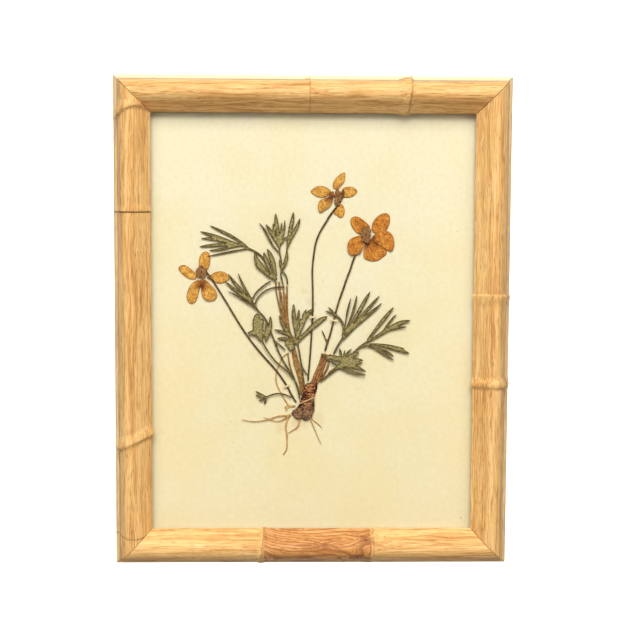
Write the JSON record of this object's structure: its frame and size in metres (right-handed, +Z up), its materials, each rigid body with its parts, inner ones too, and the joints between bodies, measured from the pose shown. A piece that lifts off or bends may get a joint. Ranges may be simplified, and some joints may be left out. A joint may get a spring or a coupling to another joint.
{
  "type": "pressed flower frame",
  "caption": "Hanging glazed frame in a faux-bamboo wood moulding, with a whole pressed golden-flowered herb, leaves, crown and roots on cream paper.",
  "frame": {"origin": "on the back face of the top rail, 10 mm above the sight edge, at the middle of the rail", "axes": "+Z up, +Y into the wall, the front faces -Y, +X to the right seen from the front"},
  "size_m": [0.2517, 0.022, 0.3113],
  "materials": {
    "oak_moulding": "pale oak, sanded and clear waxed, satin",
    "window_glass": "clear float glass",
    "cream_paper": "aged uncoated cream sheet",
    "backing_board": "brown hardboard",
    "steel_points": "bare stamped steel",
    "brassed_steel": "thin stamped and brass plated",
    "dried_petal": "papery dried petal, golden orange with darker veins",
    "dried_calyx": "dry grey-brown sepals",
    "dried_leaf": "flat dried leaf, dull olive",
    "dried_stem": "dry stem, dark brown, faint sheen",
    "rootstock": "dark red-brown scaly rootstock",
    "dried_root": "dry pale brown root",
    "strap_paper": "gummed paper strap"
  },
  "bodies": {
    "root": {"backing_board": "backing_board", "bottom_rail": "oak_moulding", "crown": "rootstock", "glass_pane": "window_glass", "hanger_nail_left": "brassed_steel", "hanger_nail_right": "brassed_steel", "hanger_plate": "brassed_steel", "leaf_a": "dried_leaf", "leaf_b": "dried_leaf", "leaf_c": "dried_leaf", "leaf_d": "dried_leaf", "leaf_e": "dried_leaf", "leaf_f": "dried_leaf", "leaf_g": "dried_leaf", "leaf_h": "dried_leaf", "leaf_i": "dried_leaf", "leaf_j": "dried_leaf", "leaf_stalks": "dried_stem", "left_flower_calyx": "dried_calyx", "left_flower_petal_left": "dried_petal", "left_flower_petal_lip": "dried_petal", "left_flower_petal_low_left": "dried_petal", "left_flower_petal_right": "dried_petal", "left_flower_petal_top": "dried_petal", "left_rail": "oak_moulding", "mounting_sheet": "cream_paper", "retaining_point_1": "steel_points", "retaining_point_2": "steel_points", "retaining_point_3": "steel_points", "retaining_point_4": "steel_points", "rhizome_stem": "rootstock", "right_flower_calyx": "dried_calyx", "right_flower_petal_left": "dried_petal", "right_flower_petal_lip": "dried_petal", "right_flower_petal_right": "dried_petal", "right_flower_petal_top_left": "dried_petal", "right_flower_petal_top_right": "dried_petal", "right_rail": "oak_moulding", "root_fine": "dried_root", "root_left": "dried_root", "root_long": "dried_root", "root_middle": "dried_root", "root_right": "dried_root", "runner": "dried_root", "stem_left_flower": "dried_stem", "stem_right_flower": "dried_stem", "stem_top_flower": "dried_stem", "strap_crown": "strap_paper", "strap_left_stem": "strap_paper", "strap_right_stem": "strap_paper", "strap_top_stem": "strap_paper", "top_flower_calyx": "dried_calyx", "top_flower_petal_left": "dried_petal", "top_flower_petal_lip": "dried_petal", "top_flower_petal_low_right": "dried_petal", "top_flower_petal_right": "dried_petal", "top_flower_petal_top": "dried_petal", "top_rail": "oak_moulding"}
  },
  "joints": []
}
